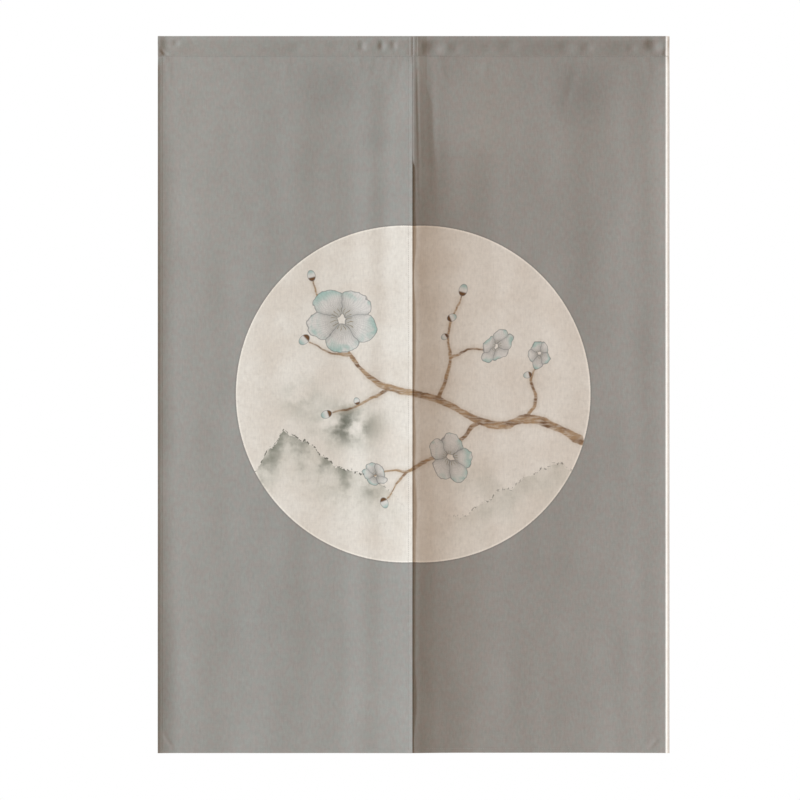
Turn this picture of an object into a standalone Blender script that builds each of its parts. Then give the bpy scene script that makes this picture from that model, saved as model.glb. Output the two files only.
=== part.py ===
"""Noren: a doorway curtain of two cloth panels, hanging at rest.

The panels are sewn together at the top of their inner edges and hang apart below. Each has a rod
pocket along its top. Metres, +Z up. The front faces -Y, +X is to its right, and the origin is the
middle of the top edge.
"""
import math

import bmesh
import bpy

# Overall size
WIDTH = 0.856  # both panels, from side edge to side edge
DROP = 1.200  # from the top edge to the bottom edge
CLOTH = 0.0012  # thickness of the hanging cloth
GAP = 0.0003  # left between neighbouring pieces

# Rod pocket
POCKET = 0.0335  # from the top edge to the line of stitches
ROD_BEND = 0.0065  # radius of the cloth's middle where it bends over the rod
FOOT_BEND = 0.0008  # the same where both walls are stitched together

# Inner edges
LEFT_EDGE = -0.003  # the left panel's inner edge, which lies in front
LAP = 0.006  # how far the right panel reaches behind it
SEAM = 0.213  # the panels are sewn together from the top edge down to here
SEAM_GAP = 0.0004  # between the lapped layers along the seam
SLIT_GAP = 0.0020  # between them where they hang free
SLIT_EASE = 0.060  # drop over which the seam opens into the slit

# The soft ridge along the inner edges, and how the right panel falls back from it
RIDGE = 0.0050
RIDGE_AT_TOP = 0.5  # share of it that starts just below the pocket
RIDGE_LEFT_REACH = 0.100
RIDGE_RIGHT_REACH = (0.034, 0.110)  # at the pocket, and where the cloth hangs free
FALL_BACK = 0.0100
FREE_DROP = 0.400  # drop at which the cloth hangs free of the pocket

# Side edges, which curl forward beside the hem
CURL = 0.0038
CURL_AT_TOP = 0.35  # share of it beside the pocket
CURL_REACH = 0.030
RIGHT_SWING = 0.0070  # how far the right side comes forward again
RIGHT_SWING_FROM = 0.280

FOLD_START = 0.070  # drop over which the ridge and the folds start below the pocket

# Soft folds. Columns: x at the top, x at the bottom, half width, forward at the top and at the bottom
LEFT_FOLDS = (
    (-0.352, -0.368, 0.060, 0.0008, 0.0022),
    (-0.262, -0.236, 0.072, 0.0012, 0.0030),
    (-0.190, -0.206, 0.044, 0.0024, 0.0006),
    (-0.110, -0.122, 0.052, -0.0016, -0.0012),
    (-0.070, -0.088, 0.034, 0.0014, 0.0022),
)
RIGHT_FOLDS = (
    (0.094, 0.106, 0.046, 0.0020, 0.0010),
    (0.176, 0.150, 0.058, -0.0010, 0.0024),
    (0.252, 0.262, 0.050, 0.0026, -0.0014),
    (0.318, 0.336, 0.042, -0.0018, 0.0016),
    (0.372, 0.390, 0.038, 0.0012, 0.0018),
)

# Puckers in the pocket's front wall. Columns: x, half width, forward
PUCKERS = (
    (-0.392, 0.026, 0.0010),
    (-0.246, 0.052, 0.0007),
    (-0.070, 0.034, 0.0011),
    (0.024, 0.026, 0.0014),
    (0.182, 0.046, 0.0006),
    (0.288, 0.040, 0.0010),
    (0.398, 0.024, 0.0011),
)

# Mesh steps
PANEL_COLUMNS = 26
PANEL_ROWS = 34
POCKET_COLUMNS = 20
ROD_BEND_STEPS = 10
WALL_STEPS = 4
FOOT_BEND_STEPS = 4
EDGE_CROWDING = 0.65  # 0 spaces columns evenly, near 1 crowds them at both edges
TOP_CROWDING = 1.25  # 1 spaces rows evenly, more crowds them at the top

# Colours, linear
LEFT_GREY = (0.315, 0.305, 0.278)
RIGHT_GREY = (0.275, 0.257, 0.228)
POCKET_GREY = (0.270, 0.255, 0.228)


def ease(t):
    """From 0 to 1 with level ends, held outside that range."""
    t = min(max(t, 0.0), 1.0)
    return t * t * (3.0 - 2.0 * t)


def blend(low, high, t):
    """The value that lies the share t of the way from low to high."""
    return low + (high - low) * t


def bump(distance, half_width):
    """A soft bump of height 1 that ends level at half_width."""
    t = min(abs(distance) / half_width, 1.0)
    return 0.5 + 0.5 * math.cos(math.pi * t)


def falling(distance, reach):
    """From 1 down to 0 at reach, steepest at the start."""
    return max(1.0 - distance / reach, 0.0) ** 2


def hang(drop):
    """How free the cloth is of the pocket: 0 at the stitches, 1 from FREE_DROP on."""
    return ease((drop - POCKET) / (FREE_DROP - POCKET))


def folds(table, x, drop):
    """The soft folds of one panel, which start at the pocket's stitches."""
    share = (drop - POCKET) / (DROP - POCKET)
    start = ease((drop - POCKET) / FOLD_START)
    total = 0.0
    for top_x, bottom_x, half_width, top_forward, bottom_forward in table:
        forward = blend(top_forward, bottom_forward, share)
        total += forward * bump(x - blend(top_x, bottom_x, share), half_width)
    return total * start


def ridge(drop):
    """How far forward the left panel's inner edge stands."""
    start = ease((drop - POCKET) / FOLD_START)
    return RIDGE * blend(RIDGE_AT_TOP * start, 1.0, hang(drop))


def left_forward(x, drop):
    """How far the left panel's middle surface stands forward of the pocket's foot."""
    edge = falling(LEFT_EDGE - x, RIDGE_LEFT_REACH) * ridge(drop)
    curl = falling(x + WIDTH / 2, CURL_REACH) * CURL * blend(CURL_AT_TOP, 1.0, hang(drop))
    return edge + curl + folds(LEFT_FOLDS, x, drop)


def right_forward(x, drop):
    """The same for the right panel, whose inner edge lies behind the left one."""
    free = hang(drop)
    opening = blend(SEAM_GAP, SLIT_GAP, ease((drop - SEAM) / SLIT_EASE))
    edge = left_forward(LEFT_EDGE, drop) - CLOTH - opening
    back = FALL_BACK * free
    reach = blend(*RIDGE_RIGHT_REACH, free)
    near = (edge + back) * falling(max(x - LEFT_EDGE, 0.0), reach)
    swing = RIGHT_SWING * free * ease((x - RIGHT_SWING_FROM) / (WIDTH / 2 - RIGHT_SWING_FROM))
    return near - back + swing + folds(RIGHT_FOLDS, x, drop)


def crowd_edges(t):
    """Moves a share of the width towards the nearer edge."""
    return t - EDGE_CROWDING * math.sin(2 * math.pi * t) / (2 * math.pi)


def new_object(name, bm, colour):
    """Turns a bmesh into a named object with its own cloth material."""
    mesh = bpy.data.meshes.new(name)
    bm.to_mesh(mesh)
    bm.free()
    mesh.shade_smooth()
    cloth = bpy.data.materials.new(name + "_cloth")
    cloth.use_nodes = True
    shader = cloth.node_tree.nodes["Principled BSDF"]
    shader.inputs["Base Color"].default_value = (*colour, 1.0)
    shader.inputs["Roughness"].default_value = 0.9
    shader.inputs["Metallic"].default_value = 0.0
    mesh.materials.append(cloth)
    obj = bpy.data.objects.new(name, mesh)
    parts.objects.link(obj)
    return obj


def thicken(obj):
    """Gives an open surface the cloth's thickness, half to each side."""
    solidify = obj.modifiers.new("thickness", "SOLIDIFY")
    solidify.thickness = CLOTH
    solidify.offset = 0.0
    solidify.use_even_offset = True
    solidify.use_rim = True


def panel(name, x_from, x_to, forward, colour):
    """One hanging panel, shaped from a flat grid whose x runs across and y runs up."""
    bm = bmesh.new()
    bmesh.ops.create_grid(bm, x_segments=PANEL_COLUMNS, y_segments=PANEL_ROWS, size=0.5)
    top = POCKET + GAP
    for vert in bm.verts:
        x = blend(x_from, x_to, crowd_edges(vert.co.x + 0.5))
        drop = blend(top, DROP, (0.5 - vert.co.y) ** TOP_CROWDING)
        vert.co = (x, -FOOT_BEND - forward(x, drop), -drop)
    thicken(new_object(name, bm, colour))


def pocket_section():
    """The pocket's section, from its foot up the front wall, over the rod and down the back wall.

    It is the belt around two rounds: the wide one over the rod and the narrow one at the stitches.
    Each point is (y, z, share), where share runs from 0 to 1 and back along the front wall only.
    """
    rod_z = -(ROD_BEND + CLOTH / 2)
    foot_z = -(POCKET - FOOT_BEND - CLOTH / 2)
    slant = math.asin((ROD_BEND - FOOT_BEND) / (rod_z - foot_z))

    def on_round(radius, z, angle):
        return -radius * math.cos(angle), z + radius * math.sin(angle)

    points = []
    for i in range(FOOT_BEND_STEPS // 2):
        angle = blend(-math.pi / 2, -slant, i / (FOOT_BEND_STEPS // 2))
        points.append((*on_round(FOOT_BEND, foot_z, angle), 0.0))
    low = on_round(FOOT_BEND, foot_z, -slant)
    high = on_round(ROD_BEND, rod_z, -slant)
    for i in range(WALL_STEPS):
        t = i / WALL_STEPS
        points.append((blend(low[0], high[0], t), blend(low[1], high[1], t), math.sin(math.pi * t)))
    for i in range(ROD_BEND_STEPS + 1):
        angle = blend(-slant, math.pi + slant, i / ROD_BEND_STEPS)
        points.append((*on_round(ROD_BEND, rod_z, angle), 0.0))
    for i in range(1, WALL_STEPS + 1):
        t = i / WALL_STEPS
        points.append((-blend(high[0], low[0], t), blend(high[1], low[1], t), 0.0))
    for i in range(1, FOOT_BEND_STEPS // 2 + 1):
        angle = blend(math.pi + slant, 1.5 * math.pi, i / (FOOT_BEND_STEPS // 2))
        points.append((*on_round(FOOT_BEND, foot_z, angle), 0.0))
    return points


def pocket(name, x_from, x_to):
    """One rod pocket: the panel's top turned over to the back, as a tube that is open at both ends."""
    section = pocket_section()
    steps = len(section) - 1
    bm = bmesh.new()
    bmesh.ops.create_grid(bm, x_segments=POCKET_COLUMNS, y_segments=steps, size=0.5)
    for vert in bm.verts:
        x = blend(x_from, x_to, crowd_edges(vert.co.x + 0.5))
        y, z, share = section[round((vert.co.y + 0.5) * steps)]
        forward = sum(height * bump(x - middle, half) for middle, half, height in PUCKERS)
        vert.co = (x, y - forward * share, z)
    bmesh.ops.remove_doubles(bm, verts=bm.verts, dist=0.00001)
    thicken(new_object(name, bm, POCKET_GREY))


for old in list(bpy.data.objects):
    bpy.data.objects.remove(old)
parts = bpy.data.collections.new("noren_curtain")
bpy.context.scene.collection.children.link(parts)

panel("panel_left", -WIDTH / 2, LEFT_EDGE, left_forward, LEFT_GREY)
panel("panel_right", LEFT_EDGE - LAP, WIDTH / 2, right_forward, RIGHT_GREY)
pocket("pocket_left", -WIDTH / 2, LEFT_EDGE - GAP / 2)
pocket("pocket_right", LEFT_EDGE + GAP / 2, WIDTH / 2)
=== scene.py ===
"""Looks of the noren curtain: two printed cloth panels, their rod pockets and their stitches.

Metres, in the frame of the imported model. The front faces -Y and the origin is the middle of the top
edge, so a place on the cloth is given by x and by its drop below the top edge.
"""

import math

import bpy
import numpy as np
from mathutils import Euler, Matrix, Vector


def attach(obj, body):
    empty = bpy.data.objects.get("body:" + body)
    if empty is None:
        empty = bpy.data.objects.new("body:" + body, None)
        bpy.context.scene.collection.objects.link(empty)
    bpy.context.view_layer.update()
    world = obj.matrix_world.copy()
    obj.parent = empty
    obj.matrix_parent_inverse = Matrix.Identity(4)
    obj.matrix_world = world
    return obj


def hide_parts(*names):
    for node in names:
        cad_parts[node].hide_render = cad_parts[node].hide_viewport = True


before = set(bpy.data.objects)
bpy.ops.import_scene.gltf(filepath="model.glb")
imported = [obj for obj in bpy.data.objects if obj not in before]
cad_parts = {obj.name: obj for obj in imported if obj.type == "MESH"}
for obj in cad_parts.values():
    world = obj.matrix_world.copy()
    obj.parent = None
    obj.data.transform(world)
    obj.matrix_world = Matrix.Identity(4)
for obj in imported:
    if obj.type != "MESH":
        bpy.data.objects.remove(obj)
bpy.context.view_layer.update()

# The solids' sizes, as part.py has them
WIDTH = 0.856
DROP = 1.200
SOLID = 0.0012  # thickness of the solids
POCKET = 0.0335
ROD_BEND = 0.0065
FOOT_BEND = 0.0008
LEFT_EDGE = -0.0018  # the left panel's inner edge, 1.2 mm past its solid's
LAP = 0.006
SEAM = 0.213
SEAM_GAP = 0.0004
SLIT_GAP = 0.00075  # less than the solids' 2 mm, because the cloth is thinner than they are
SLIT_EASE = 0.060
RIDGE = 0.0050
RIDGE_AT_TOP = 0.5
RIDGE_LEFT_REACH = 0.100
RIDGE_RIGHT_REACH = (0.034, 0.110)
FALL_BACK = 0.0100
FREE_DROP = 0.400
CURL = 0.0038
CURL_AT_TOP = 0.35
CURL_REACH = 0.030
RIGHT_SWING = 0.0070
RIGHT_SWING_FROM = 0.280
FOLD_START = 0.070
FOLD_SHARE = 0.6  # the cloth's folds are softer than the solids'

# Soft folds, as part.py has them. Columns: x at the top, x at the bottom, half width, forward at the
# top and at the bottom
LEFT_FOLDS = (
    (-0.352, -0.368, 0.060, 0.0008, 0.0022),
    (-0.262, -0.236, 0.072, 0.0012, 0.0030),
    (-0.190, -0.206, 0.044, 0.0024, 0.0006),
    (-0.110, -0.122, 0.052, -0.0016, -0.0012),
    (-0.070, -0.088, 0.034, 0.0014, 0.0022),
)
RIGHT_FOLDS = (
    (0.094, 0.106, 0.046, 0.0020, 0.0010),
    (0.176, 0.150, 0.058, -0.0010, 0.0024),
    (0.252, 0.262, 0.050, 0.0026, -0.0014),
    (0.318, 0.336, 0.042, -0.0018, 0.0016),
    (0.372, 0.390, 0.038, 0.0012, 0.0018),
)

# The cloth itself: thinner than the solid, and double where it is hemmed
CLOTH = 0.0008
HEM_EXTRA = 0.0006
HEM = 0.008  # width of the side and bottom hems
HEM_DIMPLE = 0.00007  # how far the stitches draw the cloth in
TUCK = 0.003  # how much narrower the right panel's inner hem is, so that the lap hides it
BARE_EDGE = 0.0055  # width of the unprinted margin at the right side
BARE_ROLL = 0.0011  # how far the margin's middle stands proud
FOOT = 0.0346  # drop of the pocket's foot on the front
EDGE_ROLL = (0.0011, 0.00045)  # how much more the left edge curls forward, at the top and further down
EDGE_ROLL_REACH = 0.016
EDGE_ROLL_FALL = 0.25  # drop from which it curls that little
EDGE_TURN = 0.0006  # and how much its last few millimetres turn
EDGE_TURN_REACH = 0.0036
FLUSH = 0.0034  # how far the right panel lies level beside the seam
RISE = (0.0017, 0.0007)  # how far it rises beside the left one's edge, along the seam and along the slit
RISE_REACH = 0.100
RIGHT_LIFT = 0.0036  # how much more the right edge swings forward
RIGHT_LIFT_REACH = 0.040
INNER_LIFT = 0.0009  # how much more the left panel stands up beside the slit
INNER_LIFT_REACH = 0.036
INNER_TURN = 0.00025  # and how much more its last few millimetres do
INNER_TURN_REACH = 0.009
FOOT_TURN = 0.0005  # how far the panels' bottom edge turns back
FOOT_TURN_REACH = 0.0018

# Fine creases. Columns: x and drop of one end, x and drop of the other, half width, forward
LEFT_CREASES = (
    (-0.0500, 0.020, -0.0520, 0.800, 0.0260, -0.0006),
    (-0.0170, 0.036, -0.0300, 0.090, 0.0060, -0.0003),
    (-0.0360, 0.036, -0.0460, 0.078, 0.0070, 0.0006),
    (-0.0610, 0.034, -0.0680, 0.070, 0.0075, -0.0005),
    (-0.0930, 0.034, -0.0900, 0.060, 0.0070, 0.0004),
    (-0.2100, 0.034, -0.2160, 0.082, 0.0100, 0.0004),
    (-0.4130, 0.034, -0.4060, 0.085, 0.0060, 0.0003),
    (-0.4200, 1.165, -0.4020, 1.194, 0.0050, 0.0006),
    (-0.4280, 0.860, -0.4280, 1.360, 0.0380, 0.0016),
)
RIGHT_CREASES = (
    (0.0031, -0.080, 0.0098, 0.260, 0.0042, -0.0006),
    (0.0280, 0.000, 0.0360, 0.260, 0.0110, -0.0006),
    (0.0440, 0.034, 0.0530, 0.080, 0.0075, 0.0005),
    (0.1230, 0.034, 0.1180, 0.076, 0.0090, 0.0004),
    (0.2760, 0.040, 0.2520, 0.122, 0.0120, -0.0006),
    (0.3900, 0.034, 0.3960, 0.075, 0.0070, 0.0005),
    (0.3930, 1.1935, 0.4098, 1.1750, 0.0050, 0.0011),
)

# Puckers in the pockets' front wall. Columns: x, drop, half width, half height, forward
PUCKERS = (
    (-0.3920, 0.018, 0.0260, 0.0170, 0.0007),
    (-0.3975, 0.012, 0.0070, 0.0080, -0.0012),
    (-0.2980, 0.022, 0.0300, 0.0120, -0.0006),
    (-0.2460, 0.018, 0.0520, 0.0170, 0.0007),
    (-0.1960, 0.022, 0.0180, 0.0130, -0.0007),
    (-0.1300, 0.020, 0.0200, 0.0140, -0.0006),
    (-0.0860, 0.017, 0.0090, 0.0120, -0.0016),
    (-0.0700, 0.017, 0.0340, 0.0170, 0.0011),
    (-0.0530, 0.016, 0.0085, 0.0130, -0.0020),
    (-0.0330, 0.015, 0.0070, 0.0110, -0.0016),
    (0.0100, 0.021, 0.0090, 0.0210, 0.0010),
    (0.0340, 0.020, 0.0220, 0.0190, -0.0032),
    (0.0700, 0.021, 0.0160, 0.0140, -0.0012),
    (0.1240, 0.022, 0.0150, 0.0120, -0.0007),
    (0.1600, 0.017, 0.0220, 0.0150, -0.0010),
    (0.1980, 0.018, 0.0460, 0.0170, 0.0006),
    (0.2560, 0.019, 0.0200, 0.0160, -0.0014),
    (0.2900, 0.020, 0.0140, 0.0130, -0.0011),
    (0.3220, 0.018, 0.0300, 0.0170, 0.0010),
    (0.3650, 0.020, 0.0120, 0.0120, -0.0008),
    (0.4110, 0.034, 0.0042, 0.0036, -0.0010),
    (0.4225, 0.034, 0.0048, 0.0040, -0.0014),
)
# Creases at the pockets' ends. Columns as in the panels' creases
POCKET_CREASES = (
    (-0.4290, -0.010, -0.4275, 0.045, 0.0165, 0.0030),
    (-0.4240, 0.022, -0.4120, 0.034, 0.0050, -0.0012),
    (0.4060, 0.006, 0.3970, 0.026, 0.0190, -0.0036),
    (0.4230, 0.020, 0.4190, 0.040, 0.0070, -0.0010),
)
# Upright hem lines beside the pockets' meeting. Columns: x, half width, depth
POCKET_LINES = (
    (-0.0080, 0.0016, 0.0003), (-0.0016, 0.0018, 0.0007), (0.0052, 0.0018, 0.0006), (0.0105, 0.0016, 0.0004),
)

# Mesh steps: distances from an edge that shape its rounded hem, then even steps between
EDGE_STEPS = (
    0.00002, 0.0002, 0.0005, 0.0010, 0.0024, 0.0048, 0.0060, 0.0072, 0.0080, 0.0088, 0.0100, 0.0122,
    0.0146, 0.0170, 0.0194, 0.0218, 0.0242, 0.0266, 0.0290, 0.0320, 0.0355,
)
COLUMN_STEP = 0.0042
# The right panel's closer columns beside the slit: distances from its inner edge, and the steps from there
RIGHT_FINE = ((0.0052, 0.0007), (0.0164, 0.0014), (0.0480, COLUMN_STEP))
ROW_STEP = 0.0044
POCKET_COLUMN_STEP = 0.0024

# Print: the round's size and place, with its middle at a different x on each panel
ROUND_RADIUS = 0.2817
ROUND_DROP = 0.5992
LEFT_ROUND_X = -0.0157
RIGHT_ROUND_X = 0.0146

# Material slots of every piece of cloth
GROUND, GROUND_REVERSE, ROUND, ROUND_REVERSE, UNPRINTED = range(5)

# Camera, square on as in the photo
PICTURE_WIDTH = 1.3389  # metres across the picture at the cloth
PICTURE_MIDDLE = (-0.0228, -0.6092)
LENS = 300.0
SENSOR = 36.0


def ease(t):
    """From 0 to 1 with level ends, held outside that range."""
    t = np.clip(t, 0.0, 1.0)
    return t * t * (3.0 - 2.0 * t)


def blend(low, high, t):
    """The value that lies the share t of the way from low to high."""
    return low + (high - low) * t


def bump(distance, half_width):
    """A soft bump of height 1 that ends level at half_width."""
    return 0.5 + 0.5 * np.cos(np.pi * np.minimum(np.abs(distance) / half_width, 1.0))


def falling(distance, reach):
    """From 1 down to 0 at reach, steepest at the start."""
    return np.maximum(1.0 - distance / reach, 0.0) ** 2


def hang(drop):
    """How free the cloth is of the pocket: 0 at the stitches, 1 from FREE_DROP on."""
    return ease((drop - POCKET) / (FREE_DROP - POCKET))


def folds(table, x, drop):
    """The soft folds of one panel, which start at the pocket's stitches."""
    share = (drop - POCKET) / (DROP - POCKET)
    total = np.zeros(np.broadcast(x, drop).shape)
    for top_x, bottom_x, half_width, top_forward, bottom_forward in table:
        forward = blend(top_forward, bottom_forward, share)
        total += forward * bump(x - blend(top_x, bottom_x, share), half_width)
    return total * FOLD_SHARE * ease((drop - POCKET) / FOLD_START)


def creases(table, x, drop):
    """Fine creases along straight lines, deepest at their middle."""
    total = np.zeros(np.broadcast(x, drop).shape)
    for x0, drop0, x1, drop1, half_width, forward in table:
        along_x, along_drop = x1 - x0, drop1 - drop0
        length = math.hypot(along_x, along_drop)
        t = ((x - x0) * along_x + (drop - drop0) * along_drop) / length**2
        across = ((x - x0) * along_drop - (drop - drop0) * along_x) / length
        total += forward * bump(across, half_width) * bump(t - 0.5, 0.75)
    return total


def cockle(x, drop):
    """Slow, shallow unevenness of cloth that has been washed and pressed."""
    total = np.zeros(np.broadcast(x, drop).shape)
    for across, down, turn, height in (
        (61.0, 9.0, 0.4, 0.00016), (-37.0, 23.0, 1.9, 0.00022), (24.0, -41.0, 3.1, 0.00020),
        (83.0, 31.0, 5.2, 0.00010), (-12.0, 57.0, 0.9, 0.00016), (109.0, -17.0, 2.4, 0.00007),
    ):
        total += height * np.sin(across * x + down * drop + turn)
    return total * ease((drop - POCKET) / FOLD_START)


def left_solid(x, drop):
    """How far the left solid's middle surface stands forward of the pocket's foot."""
    start = ease((drop - POCKET) / FOLD_START)
    ridge = RIDGE * blend(RIDGE_AT_TOP * start, 1.0, hang(drop))
    curl = CURL * blend(CURL_AT_TOP, 1.0, hang(drop))
    edge = falling(LEFT_EDGE - x, RIDGE_LEFT_REACH) * ridge
    return edge + falling(x + WIDTH / 2, CURL_REACH) * curl + folds(LEFT_FOLDS, x, drop)


def right_solid(x, drop):
    """The same for the right solid, whose inner edge lies behind the left one."""
    free = hang(drop)
    opening = blend(SEAM_GAP, SLIT_GAP, ease((drop - SEAM) / SLIT_EASE))
    edge = left_solid(LEFT_EDGE, drop) - SOLID - opening
    back = FALL_BACK * free
    reach = blend(*RIDGE_RIGHT_REACH, free)
    near = (edge + back) * falling(np.maximum(x - LEFT_EDGE, 0.0), reach)
    swing = RIGHT_SWING * free * ease((x - RIGHT_SWING_FROM) / (WIDTH / 2 - RIGHT_SWING_FROM))
    return near - back + swing + folds(RIGHT_FOLDS, x, drop)


def hem_dimples(x, drop, x_from, x_to):
    """The cloth drawn in along the hems' lines of stitches."""
    sides = bump(np.minimum(x - x_from, x_to - x) - HEM, 0.0016)
    bottom = bump(DROP - drop - HEM, 0.0016)
    return -HEM_DIMPLE * np.maximum(sides, bottom)


def left_forward(x, drop):
    """The left panel's middle surface with its creases and hems."""
    fine = creases(LEFT_CREASES, x, drop) + cockle(x, drop)
    side = x + WIDTH / 2
    roll = blend(*EDGE_ROLL, ease((drop - POCKET) / EDGE_ROLL_FALL)) * falling(side, EDGE_ROLL_REACH)
    roll += EDGE_TURN * falling(side, EDGE_TURN_REACH)
    lift = INNER_LIFT * falling(LEFT_EDGE - x, INNER_LIFT_REACH)
    lift += INNER_TURN * falling(LEFT_EDGE - x, INNER_TURN_REACH)
    start = ease((drop - POCKET) / FOLD_START * 3)
    fine += hem_dimples(x, drop, -WIDTH / 2, LEFT_EDGE) - foot_turn(drop)
    return left_solid(x, drop) + fine + (roll + lift) * start


def right_forward(x, drop):
    """The right panel's, which lies level beside the seam, and whose bare margin is rolled."""
    near = np.maximum(x - LEFT_EDGE, 0.0)
    fine = creases(RIGHT_CREASES, x, drop) * ease(near / 0.0006) + cockle(x, drop) * ease(near / 0.03)
    start = ease((drop - POCKET) / FOLD_START * 3)
    open_share = ease((drop - SEAM + 0.003) / 0.008)
    fine += INNER_LIFT * start * falling(near, RISE_REACH)
    fine += blend(*RISE, open_share) * ease(near / 0.0005) * (1.0 - ease(near / RISE_REACH))
    fine += RIGHT_LIFT * start * falling(WIDTH / 2 - x, RIGHT_LIFT_REACH)
    fine += hem_dimples(x, drop, LEFT_EDGE - LAP - TUCK, WIDTH / 2) - foot_turn(drop)
    level = FLUSH * (1.0 - open_share)
    shift = np.minimum(near, level) * (1.0 - ease((near - level) / 0.04))
    return right_solid(x - shift, drop) + fine + bare_roll(x)


def foot_turn(drop):
    """How far the cloth turns back at its bottom edge."""
    return FOOT_TURN * falling(DROP - drop, FOOT_TURN_REACH)


def bare_roll(x):
    """The roundness of the bare margin, whose outer half turns away."""
    return BARE_ROLL * bump(WIDTH / 2 - x - 0.0038, 0.0038)


def even_steps(start, end, step):
    """Places from start to end, both included, about a step apart."""
    return np.linspace(start, end, max(2, round(abs(end - start) / step) + 1))


def edged_steps(start, end, step, fine=()):
    """Places from start to end, crowded at both ends as EDGE_STEPS says, with closer stretches as in fine."""
    steps = np.array(EDGE_STEPS)
    near, far = steps, end - steps[::-1]
    if fine:
        near = np.append(steps[steps < fine[0][0]], fine[0][0])
    for (here, stride), (there, _) in zip(fine, fine[1:]):
        near = np.concatenate([near, even_steps(here, there, stride)[1:]])
    near = start + near
    return np.concatenate([near, even_steps(near[-1], far[0], step)[1:-1], far])


def roundness(distance, radius):
    """Share of full thickness at a distance from a folded edge."""
    return np.sqrt(1.0 - np.clip(1.0 - distance / radius, 0.0, 1.0) ** 2)


def grid_faces(rows, columns, offset, flip):
    """Quads of a grid of points that is stored row by row."""
    first = (np.arange(rows - 1)[:, None] * columns + np.arange(columns - 1)).ravel() + offset
    quads = np.stack([first, first + columns, first + columns + 1, first + 1], 1)
    return quads[:, ::-1] if flip else quads


def rim_faces(rows, columns, back):
    """Quads that close the edge between a front grid and the back grid stored after it."""
    top = np.arange(columns)
    right = np.arange(rows) * columns + columns - 1
    bottom = (rows - 1) * columns + top[::-1]
    left = np.arange(rows)[::-1] * columns
    loop = np.concatenate([top[:-1], right[:-1], bottom[:-1], left[:-1]])
    following = np.roll(loop, -1)
    return np.stack([loop, following, following + back, loop + back], 1)


def bake_places(rows, columns, side):
    """A grid's places in the map that its patterns are baked through: front on the left, back on the right."""
    across = np.linspace(0.012, 0.488, columns) + 0.5 * side
    down = np.linspace(0.988, 0.012, rows)
    return np.stack(np.meshgrid(across, down), -1).reshape(-1, 2)


def shell(name, middle, normal, depths, place, materials, slots):
    """A closed sheet of cloth from its middle surface.

    middle, normal and place are (rows, columns, 3 or 2) arrays, and depths are how far the front and
    the back surface stand from the middle one. place goes into the UV map "cloth", in metres. slots
    gives the material slot of each front face and of each back face.
    """
    rows, columns = middle.shape[:2]
    front = middle + normal * depths[0][..., None]
    back = middle - normal * depths[1][..., None]
    points = np.concatenate([front.reshape(-1, 3), back.reshape(-1, 3)])
    count = rows * columns
    rim = rim_faces(rows, columns, count)
    quads = np.concatenate([
        grid_faces(rows, columns, 0, False), grid_faces(rows, columns, count, True), rim[:, ::-1],
    ])
    mesh = bpy.data.meshes.new(name)
    mesh.from_pydata(points.tolist(), [], quads.tolist())
    for material in materials:
        mesh.materials.append(material)
    face_slots = np.concatenate([slots[0].ravel(), slots[1].ravel(), np.zeros(len(rim))])
    mesh.polygons.foreach_set("material_index", face_slots.astype(np.int32))
    corners = quads.ravel()
    flat = np.concatenate([place.reshape(-1, 2)] * 2)
    baked = np.concatenate([bake_places(rows, columns, 0), bake_places(rows, columns, 1)])[corners]
    on_rim = np.arange(len(corners)) >= 4 * (len(quads) - len(rim))
    turned = on_rim & (corners >= count)
    inner = bake_places(rows, columns, 0)[corners[turned] - count]
    baked[turned] = inner + np.sign(np.round((inner - (0.25, 0.5)) / (0.238, 0.488), 3).astype(int)) * 0.004
    for label, places in (("cloth", flat[corners]), ("OFBake", baked)):
        mesh.uv_layers.new(name=label).data.foreach_set("uv", places.astype(np.float32).ravel())
    smooth = np.arange(len(quads)) < len(quads) - len(rim)
    mesh.polygons.foreach_set("use_smooth", smooth)
    piece = bpy.data.objects.new(name, mesh)
    bpy.context.scene.collection.objects.link(piece)
    return piece


def surface_normals(middle):
    """Unit normals of a grid of points, facing forward (-Y)."""
    across = np.gradient(middle, axis=1)
    down = np.gradient(middle, axis=0)
    normal = np.cross(across, down)
    normal /= np.linalg.norm(normal, axis=-1, keepdims=True)
    return normal * -np.sign(normal[..., 1:2])


def on_cloth(forward, x, drop):
    """Points of a panel's middle surface."""
    x, drop = np.broadcast_arrays(x, drop)
    return np.stack([x, -FOOT_BEND - forward(x, drop), -drop], -1)


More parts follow.
